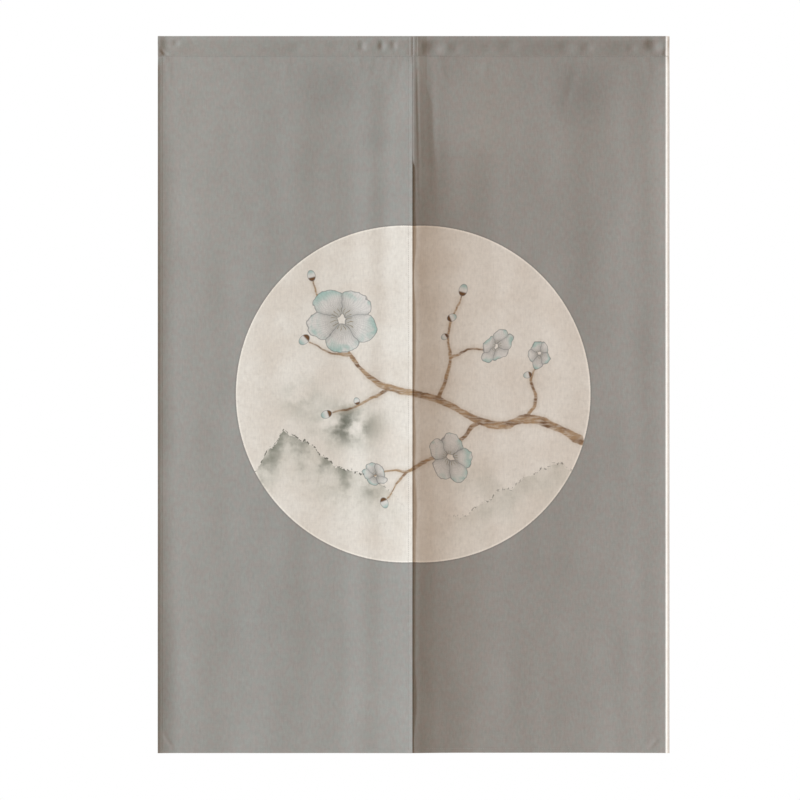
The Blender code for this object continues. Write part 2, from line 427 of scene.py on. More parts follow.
def panel(name, x_from, x_to, forward, round_x, materials, fine=(), tuck=0.0):
    """One hanging panel with its side and bottom hems turned to the back, the inner one narrower by tuck."""
    x = edged_steps(x_from, x_to, COLUMN_STEP, fine)
    top = np.array([-0.0006, 0.0, 0.0004, 0.0010, 0.0018, 0.0030]) + FOOT
    bottom = DROP - np.array(EDGE_STEPS)[::-1]
    drop = np.concatenate([top, even_steps(top[-1], bottom[0], ROW_STEP)[1:-1], bottom])
    x, drop = np.meshgrid(x, drop)
    middle = on_cloth(forward, x, drop)
    side = np.minimum(x - x_from, x_to - x)
    foot = DROP - drop
    radius = (CLOTH + HEM_EXTRA) / 2
    edge = roundness(side, radius) * roundness(foot, radius)
    inside = np.minimum(np.minimum(x - x_from + tuck, x_to - x), foot)
    hem = 1.0 - ease((inside - HEM + 0.0004) / 0.0010)
    front = CLOTH / 2 * edge
    back = (CLOTH / 2 + HEM_EXTRA * hem) * edge
    place = np.stack([x, ROUND_DROP - drop], -1)
    face_x = (x[:-1, :-1] + x[1:, 1:]) / 2
    face_drop = (drop[:-1, :-1] + drop[1:, 1:]) / 2
    in_round = np.hypot(face_x - round_x, face_drop - ROUND_DROP) < ROUND_RADIUS + 0.010
    front_slots = np.where(face_x > WIDTH / 2 - BARE_EDGE, UNPRINTED, np.where(in_round, ROUND, GROUND))
    on_hem = hem[:-1, :-1] + hem[1:, 1:] > 1.0
    reverse = np.where(in_round, ROUND_REVERSE, GROUND_REVERSE)
    turned = np.where(face_x > WIDTH / 2 - HEM, UNPRINTED, front_slots)
    back_slots = np.where(on_hem, turned, reverse)
    return shell(
        name, middle, surface_normals(middle), (front, back), place, materials, (front_slots, back_slots),
    )


def pocket_section(steps_round, steps_wall):
    """The pocket's section as points (y, drop) and their distance from the front wall's foot.

    From the stitches up the back wall, whose end is turned in, over the rod and down the front wall.
    """
    rod = ROD_BEND + (SOLID - CLOTH) / 2
    rod_drop = rod + CLOTH / 2
    foot_drop = POCKET - FOOT_BEND - SOLID / 2
    slant = math.asin((rod - FOOT_BEND) / (foot_drop - rod_drop))
    angle = np.linspace(math.pi + slant, -slant, steps_round)
    over = np.stack([-rod * np.cos(angle), rod_drop - rod * np.sin(angle)], -1)
    t = np.linspace(0, 1, steps_wall)[:-1, None]
    back_foot = np.array([FOOT_BEND - 0.0003, FOOT + 0.0008])
    front_foot = np.array([-FOOT_BEND - 0.00012, FOOT + 0.0001])
    section = np.concatenate([blend(back_foot, over[0], t), over, blend(front_foot, over[-1], t)[::-1]])
    step = np.linalg.norm(np.diff(section, axis=0), axis=1)
    along = np.concatenate([[0.0], np.cumsum(step)])
    return section, along[-1] - along


def pocket(name, x_from, x_to, materials):
    """One rod pocket: the panel's top turned over to the back and stitched down."""
    section, along = pocket_section(28, 20)
    x = edged_steps(x_from, x_to, POCKET_COLUMN_STEP)
    y = section[:, 0][:, None] + np.zeros_like(x)
    drop = section[:, 1][:, None] + np.zeros_like(x)
    x = np.broadcast_to(x, y.shape)
    in_front = (y < 0).astype(float)
    forward = np.zeros_like(y)
    for middle_x, middle_drop, half_width, half_height, height in PUCKERS:
        forward += height * bump(x - middle_x, half_width) * bump(drop - middle_drop, half_height)
    for line_x, half_width, depth in POCKET_LINES:
        forward -= depth * bump(x - line_x, half_width)
    forward += creases(POCKET_CREASES, x, drop) + bare_roll(x)
    forward -= 2 * HEM_DIMPLE * bump(FOOT - POCKET_STITCH - drop, 0.0014)
    forward *= in_front * ease((FOOT - drop) / 0.004)
    middle = np.stack([x, y - forward, -drop], -1)
    across = np.gradient(middle, axis=1)
    down = np.gradient(middle, axis=0)
    normal = np.cross(down, across)
    normal /= np.linalg.norm(normal, axis=-1, keepdims=True)
    side = np.minimum(x - x_from, x_to - x)
    edge = roundness(side, CLOTH / 2)
    turned = ease((along[:, None] - along[0] + HEM) / 0.0010) * HEM_EXTRA
    place = np.stack([x, ROUND_DROP - FOOT + along[:, None] + np.zeros_like(x)], -1)
    face_x = (x[:-1, :-1] + x[1:, 1:]) / 2
    outer = np.where(face_x > WIDTH / 2 - BARE_EDGE, UNPRINTED, GROUND)
    depths = ((CLOTH / 2 + turned) * edge, CLOTH / 2 * edge)
    return shell(
        name, middle, normal, depths, place, materials, (outer, np.full_like(outer, GROUND_REVERSE)),
    )


# Node helpers

def srgb(text):
    """A linear colour from an sRGB hex."""
    channels = [int(text[i : i + 2], 16) / 255 for i in (0, 2, 4)]
    return (*[c / 12.92 if c <= 0.04045 else ((c + 0.055) / 1.055) ** 2.4 for c in channels], 1.0)


def add(tree, kind, *values, out=0, **settings):
    """Adds a node and returns one of its outputs.

    values are its inputs in the order shown, as numbers or links, where None leaves one as it is. A word
    after the kind sets its operation, its interpolation or its type of data.
    """
    kind, _, word = kind.partition(" ")
    node = tree.nodes.new(kind if "Node" in kind else "ShaderNode" + kind)
    if word:
        ways = ("operation", "interpolation_type", "data_type")
        setattr(node, next(way for way in ways if hasattr(node, way)), word)
    for name, value in settings.items():
        setattr(node, name, value)
    shown = [socket for socket in node.inputs if socket.enabled]
    for socket, value in zip(shown, values):
        if isinstance(value, bpy.types.NodeSocket):
            tree.links.new(value, socket)
        elif value is not None:
            socket.default_value = value
    return [socket for socket in node.outputs if socket.enabled][out]


def cloud(tree, place, size, detail=2.0, seed=0.0, stretch=(1.0, 1.0), out=0):
    """Noise whose blots are about size metres across, drawn out by stretch."""
    scale = (1.0 / (size * stretch[0]), 1.0 / (size * stretch[1]), 1.0)
    moved = add(tree, "Mapping", place, (seed, seed * 0.7, seed), None, scale)
    return add(tree, "TexNoise", moved, 1.0, detail, out=out)


def new_group(name, takes, gives):
    """An empty shader group. takes and gives are (name, kind) pairs. Returns it, its inputs and its output node."""
    group = bpy.data.node_groups.new(name, "ShaderNodeTree")
    for direction, sockets in (("INPUT", takes), ("OUTPUT", gives)):
        for label, kind in sockets:
            group.interface.new_socket(name=label, in_out=direction, socket_type="NodeSocket" + kind)
    return group, group.nodes.new("NodeGroupInput").outputs, group.nodes.new("NodeGroupOutput")


# Print. Its groups work in millimetres, across and up from the middle of the round.

def traced(tree, place, points, low, high, straight=False):
    """A line drawn through (place, value) points, as its value at a place from -300 to 300 mm."""
    share = add(tree, "MapRange LINEAR", place, -300.0, 300.0)
    value = add(tree, "FloatCurve", None, share)
    mapping = value.node.mapping
    curve = mapping.curves[0]
    ordered = sorted(points)
    curve.points[0].location = (0.0, (ordered[0][1] - low) / (high - low))
    curve.points[1].location = (1.0, (ordered[-1][1] - low) / (high - low))
    for at, height in ordered:
        curve.points.new((at + 300.0) / 600.0, (height - low) / (high - low))
    for point in curve.points:
        point.handle_type = "VECTOR" if straight else "AUTO"
    mapping.update()
    return add(tree, "MapRange LINEAR", value, 0.0, 1.0, low, high)


def branch(tree, across, up, upright, line):
    """The distance outside one branch, whose line is a table of along, sideways and width in mm."""
    along, sideways = (up, across) if upright else (across, up)
    middle = traced(tree, along, [(at, aside) for at, aside, _ in line], -300.0, 300.0)
    ordered = sorted((at, width / 2) for at, _, width in line)
    ends = [(ordered[0][0] - 3.0, -9.0), *ordered, (ordered[-1][0] + 3.0, -9.0)]
    half = traced(tree, along, ends, -9.0, 16.0, straight=True)
    return add(
        tree, "Math SUBTRACT", add(tree, "Math ABSOLUTE", add(tree, "Math SUBTRACT", sideways, middle)),
        half,
    )


def nearest(tree, place, motifs):
    """The place as seen from the nearest of several motifs, and that motif's facts as a vector.

    Rows of motifs: across, up, radius, turn, flatness. The facts are the last three.
    """
    local, facts, least = None, None, None
    for across, up, radius, turn, flatness in motifs:
        here = add(tree, "VectorMath SUBTRACT", place, (across, up, 0.0))
        away = add(tree, "Math DIVIDE", add(tree, "VectorMath LENGTH", here), radius)
        if local is None:
            local, facts, least = here, (radius, turn, flatness), away
            continue
        closer = add(tree, "Math LESS_THAN", away, least)
        least = add(tree, "Math MINIMUM", away, least)
        local = add(tree, "Mix VECTOR", closer, local, here)
        facts = add(tree, "Mix VECTOR", closer, facts, (radius, turn, flatness))
    split = add(tree, "SeparateXYZ", facts)
    radius, turn, flatness = split, split.node.outputs[1], split.node.outputs[2]
    turned = add(tree, "VectorRotate", local, None, turn, rotation_type="Z_AXIS")
    axes = add(tree, "SeparateXYZ", turned)
    return axes, add(tree, "Math DIVIDE", axes.node.outputs[1], flatness), radius


# Bough and twigs. Upright ones are drawn from below up. Columns: along, sideways, width
BOUGH = (
    (False, ((284, -78, 17), (232, -52, 13), (190, -42, 15), (150, -52, 12), (112, -46, 14), (72, -25, 11),
             (40, -10, 13), (0, 2, 10), (-40, 10, 12), (-76, 30, 10), (-104, 62, 11), (-118, 84, 9))),
    (True, ((78, -115, 8), (104, -133, 6), (128, -150, 5), (158, -158, 4), (192, -169, 2))),
    (
        False,
        (
            (112, -47, 10), (84, -72, 9), (60, -94, 9), (24, -110, 6), (-10, -130, 6), (-30, -150, 5),
            (-46, -174, 3),
        ),
    ),
    (True, ((-12, 41, 8), (22, 53, 6), (60, 62, 5), (92, 57, 4), (124, 63, 4), (166, 80, 2))),
    (False, ((-38, 9, 7), (-68, -6, 5), (-92, -18, 4), (-138, -32, 2))),
    (False, ((-8, -130, 5), (-42, -127, 3), (-74, -140, 2))),
    (False, ((60, 61, 5), (98, 76, 3), (124, 74, 2))),
    (False, ((-108, 66, 6), (-142, 70, 3), (-176, 88, 2))),
    (True, ((-42, 190, 8), (-8, 204, 5), (28, 197, 4), (54, 209, 2))),
)
# Blossoms. Columns: across, up, radius, turn, flatness
BLOSSOMS = (
    (
        -120, 124, 60, 0.35, 0.92,
    ), (62, -108, 43, 1.10, 0.80), (140, 80, 33, 2.30, 0.66), (-66, -134, 24, 0.60, 0.75),
    (210, 66, 22, 1.70, 0.85),
)
# Buds. Columns: across, up, radius, turn, flatness
BUDS = (
    (
        -171, 198, 9, -1.8, 0.72,
    ), (83, 174, 10, -1.3, 0.70), (64, 128, 8, -0.4, 0.75), (-146, -34, 9, 2.8, 0.72),
    (-183, 91, 10, 2.4, 0.72), (-49, -182, 9, 1.2, 0.70), (52, 96, 6, 2.6, 0.80), (-95, -12, 6, -1.9, 0.80),
    (191, 32, 7, 2.9, 0.75),
)
# Hills. Columns: middle across, half width, height of the ridge over the base
LEFT_HILLS = ((-214, 96, 128), (-122, 86, 70), (-50, 60, 30))
RIGHT_HILLS = ((240, 100, 92), (150, 80, 40))
# Mist. Columns: across, up, half width, half height, strength
MIST = ((-112, -52, 92, 64, 0.95), (-186, -10, 62, 50, 0.55), (118, -150, 92, 50, 0.30))
# Soft darker clouds in the ground's colour, paler where strength is negative, partly print mottling and partly painted
# light and shade.
# Columns: x and drop in mm, half width, half height, strength
CLOUDS_AND_PAINTED_LIGHT = (
    (-140, 90, 90, 70, 0.045), (278, 92, 95, 80, 0.070), (-64, 172, 40, 36, 0.045),
    (-385, 520, 60, 240, 0.010), (330, 700, 110, 160, 0.020), (-300, 960, 130, 110, 0.018),
    (-120, 1110, 90, 70, -0.020), (125, 130, 66, 180, -0.070), (240, 150, 300, 170, -0.015),
    (220, 1040, 120, 90, -0.018), (-370, 100, 140, 1250, -0.062), (-30, 130, 36, 140, -0.040),
    (410, 250, 60, 220, -0.060), (-418, 1090, 36, 170, 0.060), (220, 18, 300, 26, 0.045),
    (230, 1060, 300, 420, 0.026), (-230, 1060, 300, 420, 0.024),
)


def hill_wash(tree, across, up, hills, base, seed):
    """How far a place lies below a row of hills in mm, negative above their ridge."""
    ridge = base
    for middle, half_width, height in hills:
        away = add(tree, "Math ABSOLUTE", add(tree, "Math SUBTRACT", across, middle))
        ridge = add(
            tree, "Math ADD", ridge, add(tree, "MapRange SMOOTHSTEP", away, half_width, 0.0, 0.0, height),
        )
    line = add(tree, "CombineXYZ", across, seed)
    for size, height in ((30.0, 34.0), (9.0, 12.0), (3.5, 5.0)):
        rough = cloud(tree, line, size, 1.0, seed)
        ridge = add(
            tree, "Math ADD", ridge,
            add(tree, "Math MULTIPLY", add(tree, "Math SUBTRACT", rough, 0.5), height),
        )
    return add(tree, "Math SUBTRACT", ridge, up)


def picture_group():
    """The round's print, a plum bough over far hills: its colour at a place, in mm from its middle."""
    group, takes, gives = new_group("plum bough print", [("Place", "Vector")], [("Color", "Color")])
    place = takes["Place"]
    axes = add(group, "SeparateXYZ", place)
    across, up = axes, axes.node.outputs[1]

    # Paper tone, with faint stains
    stain = cloud(group, place, 70.0, 4.0, 3.0)
    colour = add(
        group, "Mix RGBA", add(group, "MapRange SMOOTHSTEP", stain, 0.35, 0.70), srgb("f9f5ea"),
        srgb("f1eadd"),
    )
    grain = cloud(group, place, 9.0, 3.0, 8.0)
    colour = add(
        group, "Mix RGBA", add(group, "MapRange SMOOTHSTEP", grain, 0.50, 0.75, 0.0, 0.25), colour,
        srgb("d9d2c4"),
    )

    # Mist, and ink hills that fade downwards with dark dabs along their ridges
    for mist_x, mist_y, wide, high, strength in MIST:
        shifted = add(group, "VectorMath SUBTRACT", place, (mist_x, mist_y, 0.0))
        oval = add(group, "VectorMath LENGTH", add(group, "VectorMath DIVIDE", shifted, (wide, high, 1.0)))
        blots = add(group, "MapRange SMOOTHSTEP", cloud(group, place, 34.0, 5.0, mist_x * 0.1), 0.30, 0.62)
        mist = add(
            group, "Math MULTIPLY",
            add(group, "Math MULTIPLY", add(group, "MapRange SMOOTHSTEP", oval, 1.0, 0.0), blots), strength,
        )
        tone = add(
            group, "Mix RGBA", add(group, "MapRange SMOOTHSTEP", mist, 0.2, 0.8), srgb("a9ac9b"),
            srgb("666b5b"),
        )
        colour = add(group, "Mix RGBA", mist, colour, tone)
    for hills, base, seed, strength, dabs in (
        (LEFT_HILLS, -190.0, 2.0, 0.85, 0.85), (RIGHT_HILLS, -205.0, 7.0, 0.40, 0.60),
    ):
        below = hill_wash(group, across, up, hills, base, seed)
        end = add(
            group, "MapRange SMOOTHSTEP",
            add(group, "Math ABSOLUTE", add(group, "Math SUBTRACT", across, hills[0][0])), 215.0, 120.0,
        )
        fade = add(
            group, "Math MULTIPLY",
            add(group, "Math POWER", add(group, "MapRange SMOOTHSTEP", below, 120.0, 0.0), 1.6), end,
        )
        blots = add(
            group, "MapRange SMOOTHSTEP", cloud(group, place, 36.0, 4.0, seed), 0.30, 0.72, 0.25 * strength,
            strength,
        )
        wash = add(
            group, "Math MULTIPLY",
            add(group, "Math MULTIPLY", add(group, "MapRange SMOOTHSTEP", below, 0.0, 2.5), fade), blots,
        )
        tone = add(
            group, "Mix RGBA", add(group, "MapRange SMOOTHSTEP", wash, 0.15, 0.70), srgb("b6b8a6"),
            srgb("747a69"),
        )
        colour = add(group, "Mix RGBA", wash, colour, tone)
        dab = add(
            group, "Math MULTIPLY",
            add(group, "MapRange SMOOTHSTEP", add(group, "Math ABSOLUTE", below), 2.6, 0.8), end,
        )
        broken = add(
            group, "MapRange SMOOTHSTEP", cloud(group, place, 5.0, 2.0, seed + 4), 0.48, 0.58, 0.0, dabs,
        )
        colour = add(group, "Mix RGBA", add(group, "Math MULTIPLY", dab, broken), colour, srgb("3f4438"))

    # Bough and twigs, drawn with a wet brush
    wander = add(group, "VectorMath SUBTRACT", cloud(group, place, 24.0, 4.0, 1.0, out=1), (0.5, 0.5, 0.5))
    wander = add(group, "VectorMath SCALE", wander, 9.0)
    brushed = add(group, "SeparateXYZ", add(group, "VectorMath ADD", place, wander))
    outside = 99.0
    for upright, line in BOUGH:
        outside = add(
            group, "Math MINIMUM", outside, branch(group, brushed, brushed.node.outputs[1], upright, line),
        )
    dry = add(
        group, "MapRange SMOOTHSTEP", cloud(group, place, 3.0, 4.0, 5.0, (4.0, 1.0)), 0.34, 0.58, 0.55, 0.95,
    )
    bark = add(
        group, "Mix RGBA",
        add(group, "MapRange SMOOTHSTEP", cloud(group, place, 14.0, 4.0, 9.0, (2.5, 1.0)), 0.42, 0.68),
        srgb("b3946f"), srgb("755333"),
    )
    colour = add(
        group, "Mix RGBA", add(group, "MapRange SMOOTHSTEP", outside, 9.0, 0.0, 0.0, 0.18), colour,
        srgb("b79c78"),
    )
    colour = add(
        group, "Mix RGBA",
        add(group, "Math MULTIPLY", add(group, "MapRange SMOOTHSTEP", outside, 1.4, -1.2), dry), colour,
        bark,
    )

    # Buds, each with a brown cup, then blossoms in fine line
    local_x, local_y, radius = nearest(group, place, BUDS)
    away = add(group, "VectorMath LENGTH", add(group, "CombineXYZ", local_x, local_y))
    outside = add(group, "Math SUBTRACT", away, radius)
    cup = add(group, "MapRange SMOOTHSTEP", add(group, "Math DIVIDE", local_x, radius), -0.15, -0.5)
    tone = add(
        group, "Mix RGBA", cup,
        add(
            group, "Mix RGBA", add(group, "MapRange SMOOTHSTEP", local_x, 0.0, 9.0), srgb("e9e8e1"),
            srgb("b4d0c8"),
        ),
        srgb("77573a"),
    )
    colour = add(group, "Mix RGBA", add(group, "MapRange SMOOTHSTEP", outside, 0.6, -0.6), colour, tone)
    colour = add(
        group, "Mix RGBA",
        add(group, "MapRange SMOOTHSTEP", add(group, "Math ABSOLUTE", outside), 1.3, 0.2, 0.0, 0.5), colour,
        srgb("77797a"),
    )
    colour = blossoms(group, place, colour)
    group.links.new(colour, gives.inputs["Color"])
    return group


def blossoms(group, place, colour):
    """Adds five-petalled blossoms, their petals ruffled, veined and tipped with pale teal."""
    ruffle = add(group, "VectorMath SUBTRACT", cloud(group, place, 22.0, 2.0, 11.0, out=1), (0.5, 0.5, 0.5))
    ruffle = add(group, "VectorMath SCALE", ruffle, 16.0)
    local_x, local_y, radius = nearest(group, add(group, "VectorMath ADD", place, ruffle), BLOSSOMS)
    away = add(group, "VectorMath LENGTH", add(group, "CombineXYZ", local_x, local_y))
    share = add(group, "Math DIVIDE", away, radius)
    angle = add(group, "Math ARCTAN2", local_y, local_x)
    petal = 2 * math.pi / 5
    folded = add(group, "Math WRAP", angle, petal / 2, -petal / 2)
    out_x = add(
        group, "Math SUBTRACT", add(group, "Math MULTIPLY", share, add(group, "Math COSINE", folded)), 0.56,
    )
    out_y = add(
        group, "Math MULTIPLY", add(group, "Math MULTIPLY", share, add(group, "Math SINE", folded)), 0.92,
    )
    reach = add(group, "VectorMath LENGTH", add(group, "CombineXYZ", out_x, out_y))
    outside = add(group, "Math MULTIPLY", add(group, "Math SUBTRACT", reach, 0.43), radius)
    between = add(
        group, "Math MULTIPLY", add(group, "Math SUBTRACT", petal / 2, add(group, "Math ABSOLUTE", folded)),
        away,
    )
    inside = add(group, "MapRange SMOOTHSTEP", outside, 0.6, -0.6)
    tips = add(
        group, "Math MULTIPLY", add(group, "MapRange SMOOTHSTEP", share, 0.55, 1.0),
        add(group, "MapRange SMOOTHSTEP", cloud(group, place, 24.0, 2.0, 5.0), 0.40, 0.60),
    )
    tone = add(
        group, "Mix RGBA", add(group, "MapRange SMOOTHSTEP", share, 0.0, 0.7), srgb("c9c8bf"),
        srgb("eceae3"),
    )
    tone = add(
        group, "Mix RGBA", add(group, "MapRange SMOOTHSTEP", between, 9.0, 0.0, 0.0, 0.45), tone,
        srgb("b3b4ae"),
    )
    tone = add(group, "Mix RGBA", add(group, "Math MULTIPLY", tips, 0.85), tone, srgb("a2cdc3"))
    veins = add(
        group, "MapRange SMOOTHSTEP", add(group, "Math SINE", add(group, "Math MULTIPLY", angle, 66.0)),
        0.0, 0.9, 0.0, 0.26,
    )
    rings = add(
        group, "MapRange SMOOTHSTEP", add(group, "Math SINE", add(group, "Math MULTIPLY", away, 2.1)), 0.2,
        0.9, 0.0, 0.16,
    )
    net = add(
        group, "Math MULTIPLY", add(group, "Math MAXIMUM", veins, rings),
        add(group, "MapRange SMOOTHSTEP", share, 1.0, 0.35, 0.35, 1.0),
    )
    tone = add(group, "Mix RGBA", net, tone, srgb("7d8082"))
    stamens = add(
        group, "MapRange SMOOTHSTEP", add(group, "Math SINE", add(group, "Math MULTIPLY", angle, 17.0)),
        0.70, 0.95,
    )
    stamens = add(
        group, "Math MULTIPLY", stamens, add(group, "MapRange SMOOTHSTEP", share, 0.36, 0.30, 0.0, 0.75),
    )
    tone = add(group, "Mix RGBA", stamens, tone, srgb("8a7c58"))
    tone = add(
        group, "Mix RGBA", add(group, "MapRange SMOOTHSTEP", share, 0.13, 0.08), tone, srgb("8d8a4e"),
    )
    colour = add(group, "Mix RGBA", add(group, "Math MULTIPLY", inside, 0.95), colour, tone)
    outline = add(group, "MapRange SMOOTHSTEP", add(group, "Math ABSOLUTE", outside), 1.3, 0.2, 0.0, 0.60)
    border = add(
        group, "Math MULTIPLY", add(group, "MapRange SMOOTHSTEP", between, 1.1, 0.2, 0.0, 0.5), inside,
    )
    return add(group, "Mix RGBA", add(group, "Math MAXIMUM", outline, border), colour, srgb("6f7273"))


def weave_group():
    """Plain weave of linen-like yarn: its height, and its yarns' unevenness, from a place in mm.

    Real yarns lie about 0.6 mm apart. They are drawn 1.1 mm apart, or no render would show them.
    """
    group, takes, gives = new_group(
        "plain weave", [("Place", "Vector")], [("Height", "Float"), ("Slub", "Float")],
    )
    place = takes["Place"]
    wander = add(group, "VectorMath SCALE", cloud(group, place, 26.0, 2.0, 6.0, out=1), 2.2)
    axes = add(group, "SeparateXYZ", add(group, "VectorMath ADD", place, wander))
    pitch = math.pi / 1.1
    warp = add(group, "Math SINE", add(group, "Math MULTIPLY", axes, pitch))
    weft = add(group, "Math SINE", add(group, "Math MULTIPLY", axes.node.outputs[1], pitch))
    crossing = add(group, "Math MULTIPLY", warp, weft)
    upright = add(group, "Math SUBTRACT", cloud(group, place, 1.8, 2.0, 1.0, (1.0, 8.0)), 0.5)
    level = add(group, "Math SUBTRACT", cloud(group, place, 1.6, 1.0, 4.0, (8.0, 1.0)), 0.5)
    specks = add(group, "Math SUBTRACT", cloud(group, place, 4.5, 3.0, 9.0, (1.0, 1.8)), 0.5)
    slub = add(group, "Math MULTIPLY_ADD", upright, 0.7, add(group, "Math MULTIPLY_ADD", level, 0.4, specks))
    height = add(
        group, "Math ADD", add(group, "Math MULTIPLY", crossing, 0.35),
        add(group, "Math MULTIPLY", slub, 0.9),
    )
    group.links.new(height, gives.inputs["Height"])
    group.links.new(slub, gives.inputs["Slub"])
    return group


def ground_group():
    """The printed ground: a clouded grey, cooler and warmer by patches, from a place in mm."""
    group, takes, gives = new_group("printed ground", [("Place", "Vector")], [("Color", "Color")])
    place = takes["Place"]
    patches = add(group, "MapRange SMOOTHSTEP", cloud(group, place, 10.0, 3.0, 2.0, (1.0, 1.3)), 0.38, 0.62)
    colour = add(group, "Mix RGBA", patches, srgb("aaaca6"), srgb("ada9a3"))
    shade = 1.0
    # The clouds are partly the print's mottling and partly painted light and shade, such as the paler cloud beside the
    # left panel's inner edge near the top
    for cloud_x, drop, wide, high, strength in CLOUDS_AND_PAINTED_LIGHT:
        shifted = add(group, "VectorMath SUBTRACT", place, (cloud_x, ROUND_DROP * 1000 - drop, 0.0))
        oval = add(group, "VectorMath LENGTH", add(group, "VectorMath DIVIDE", shifted, (wide, high, 1.0)))
        shade = add(
            group, "Math SUBTRACT", shade,
            add(group, "MapRange SMOOTHSTEP", oval, 1.0, 0.0, 0.0, strength * 1.6),
        )
    for size, detail, seed, strength in ((150.0, 2.0, 1.0, 0.08), (36.0, 3.0, 5.0, 0.08)):
        uneven = add(group, "Math SUBTRACT", cloud(group, place, size, detail, seed), 0.5)
        shade = add(group, "Math ADD", shade, add(group, "Math MULTIPLY", uneven, strength))
    colour = add(group, "VectorMath SCALE", colour, shade)
    group.links.new(colour, gives.inputs["Color"])
    return group


def round_group(ground, picture):
    """The ground with the round on it, whose rim is crisp, a little paler inside and darker outside."""
    takes = [("Place", "Vector"), ("Round middle", "Vector")]
    group, takes, gives = new_group("printed round", takes, [("Color", "Color")])
    place = takes["Place"]
    colour = add(group, "Group", place, node_tree=ground)
    away = add(group, "VectorMath DISTANCE", place, takes["Round middle"])
    ragged = add(group, "Math MULTIPLY", cloud(group, place, 1.6, 1.0, 2.0), 0.8)
    inside = add(group, "Math SUBTRACT", ROUND_RADIUS * 1000 + 0.4, add(group, "Math ADD", away, ragged))
    colour = add(
        group, "Mix RGBA", add(group, "MapRange SMOOTHSTEP", inside, -3.6, -0.6, 0.0, 0.36), colour,
        srgb("7c7a76"),
    )
    drawn = add(group, "Group", place, node_tree=picture)
    paler = add(group, "MapRange SMOOTHSTEP", inside, 3.6, 1.4, 1.0, 1.17)
    drawn = add(group, "VectorMath SCALE", drawn, paler)
    covered = add(group, "MapRange SMOOTHSTEP", inside, -0.4, 0.4)
    group.links.new(add(group, "Mix RGBA", covered, colour, drawn), gives.inputs["Color"])
    return group


def painted_slit_shade_group():
    """Painted shade, warm and darker, of the right panel turning away from the light beside the slit, as a factor for
    its colour.

    It is darkest within 3 mm of the slit, where light from the room hardly reaches.
    """
    group, takes, gives = new_group("painted shade beside the slit", [("Place", "Vector")], [("Factor", "Vector")])
    axes = add(group, "SeparateXYZ", takes["Place"])
    wander = add(
        group, "Math MULTIPLY",
        add(group, "Math SUBTRACT", cloud(group, takes["Place"], 50.0, 2.0, 3.0), 0.5), 8.0,
    )
    across = add(group, "Math ADD", add(group, "Math SUBTRACT", axes, LEFT_EDGE * 1000), wander)
    drop = add(group, "Math SUBTRACT", ROUND_DROP * 1000, axes.node.outputs[1])
    low = add(group, "MapRange SMOOTHSTEP", drop, 150.0, 250.0)
    width = add(
        group, "Math ADD", add(group, "MapRange SMOOTHSTEP", drop, 75.0, 130.0, 23.0, 34.0),
        add(group, "MapRange SMOOTHSTEP", drop, 180.0, 235.0, 0.0, 10.0),
    )
    width = add(group, "Math ADD", width, add(group, "MapRange SMOOTHSTEP", drop, 400.0, 880.0, 0.0, -8.0))
    past = add(
        group, "Math DIVIDE", add(group, "Math SUBTRACT", across, width),
        add(group, "Math ADD", 3.0, add(group, "Math MULTIPLY", low, 9.0)),
    )
    beside = add(group, "MapRange SMOOTHSTEP", across, 5.5, add(group, "Math MULTIPLY_ADD", low, 8.0, 8.0))
    fading = add(group, "MapRange SMOOTHSTEP", drop, 60.0, 120.0, 0.18, 0.12)
    narrow = add(
        group, "Math MULTIPLY", add(group, "MapRange SMOOTHSTEP", past, 0.5, -0.5),
        add(group, "Math MULTIPLY_ADD", low, -0.07, fading),
    )
    wide = add(
        group, "Math MULTIPLY", add(group, "MapRange SMOOTHSTEP", across, 150.0, 85.0),
        add(group, "Math MULTIPLY", low, 0.09),
    )
    strength = add(group, "Math MULTIPLY", add(group, "Math ADD", narrow, wide), beside)
    crevice = add(
        group, "Math MULTIPLY", add(group, "MapRange SMOOTHSTEP", axes, LEFT_EDGE * 1000 + 2.4, LEFT_EDGE * 1000 + 1.4),
        add(group, "MapRange SMOOTHSTEP", drop, SEAM * 1000 - 4.0, SEAM * 1000 + 2.0, 0.0, 0.27),
    )
    strength = add(group, "Math ADD", strength, crevice)
    shade = add(group, "VectorMath SCALE", (0.78, 1.0, 1.22), strength)
    group.links.new(add(group, "VectorMath SUBTRACT", (1.0, 1.0, 1.0), shade), gives.inputs["Factor"])
    return group


